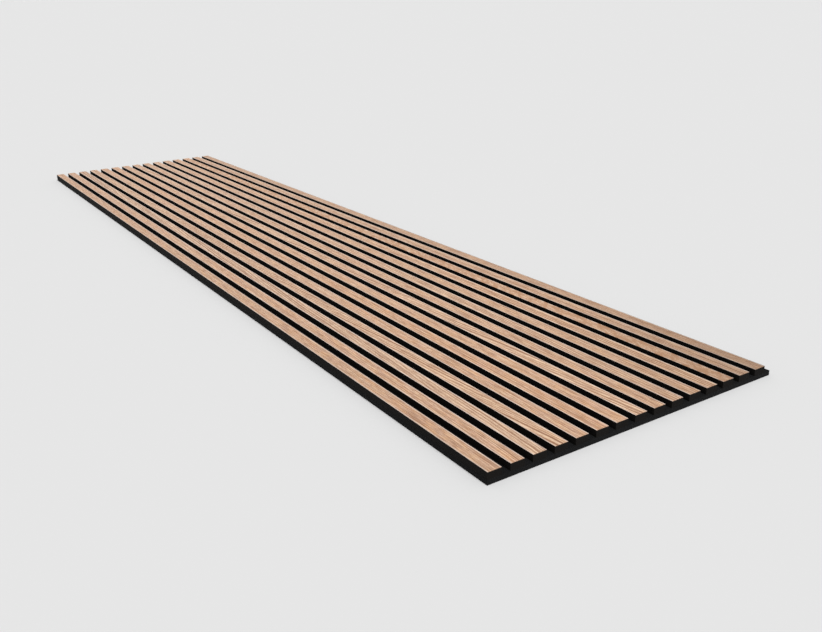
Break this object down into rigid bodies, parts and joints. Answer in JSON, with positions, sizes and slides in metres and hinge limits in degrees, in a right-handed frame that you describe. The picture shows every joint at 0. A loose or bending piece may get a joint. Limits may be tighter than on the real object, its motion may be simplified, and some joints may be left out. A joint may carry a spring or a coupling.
{
  "type": "acoustic slat wall panel",
  "caption": "Long flat wall panel: parallel oak-veneered slats glued and stapled in a row on a sheet of black felt, with dark channels between them that soak up sound.",
  "frame": {"origin": "middle of the felt's back face, which meets the wall", "axes": "+Y along the slats, +X across them towards the bare felt edge, +Z out of the wall"},
  "size_m": [0.6, 2.6, 0.021],
  "materials": {
    "oak_veneer": "matt lacquer",
    "dyed_fibreboard": "matt",
    "felt": "needle felt",
    "staple": "galvanised"
  },
  "bodies": {
    "root": {"felt_backing": "felt", "back_staples": "staple", "slat_01_core": "dyed_fibreboard", "slat_02_core": "dyed_fibreboard", "slat_03_core": "dyed_fibreboard", "slat_04_core": "dyed_fibreboard", "slat_05_core": "dyed_fibreboard", "slat_06_core": "dyed_fibreboard", "slat_07_core": "dyed_fibreboard", "slat_08_core": "dyed_fibreboard", "slat_09_core": "dyed_fibreboard", "slat_10_core": "dyed_fibreboard", "slat_11_core": "dyed_fibreboard", "slat_12_core": "dyed_fibreboard", "slat_13_core": "dyed_fibreboard", "slat_14_core": "dyed_fibreboard", "slat_15_core": "dyed_fibreboard", "slat_01_veneer": "oak_veneer", "slat_02_veneer": "oak_veneer", "slat_03_veneer": "oak_veneer", "slat_04_veneer": "oak_veneer", "slat_05_veneer": "oak_veneer", "slat_06_veneer": "oak_veneer", "slat_07_veneer": "oak_veneer", "slat_08_veneer": "oak_veneer", "slat_09_veneer": "oak_veneer", "slat_10_veneer": "oak_veneer", "slat_11_veneer": "oak_veneer", "slat_12_veneer": "oak_veneer", "slat_13_veneer": "oak_veneer", "slat_14_veneer": "oak_veneer", "slat_15_veneer": "oak_veneer"}
  },
  "joints": []
}
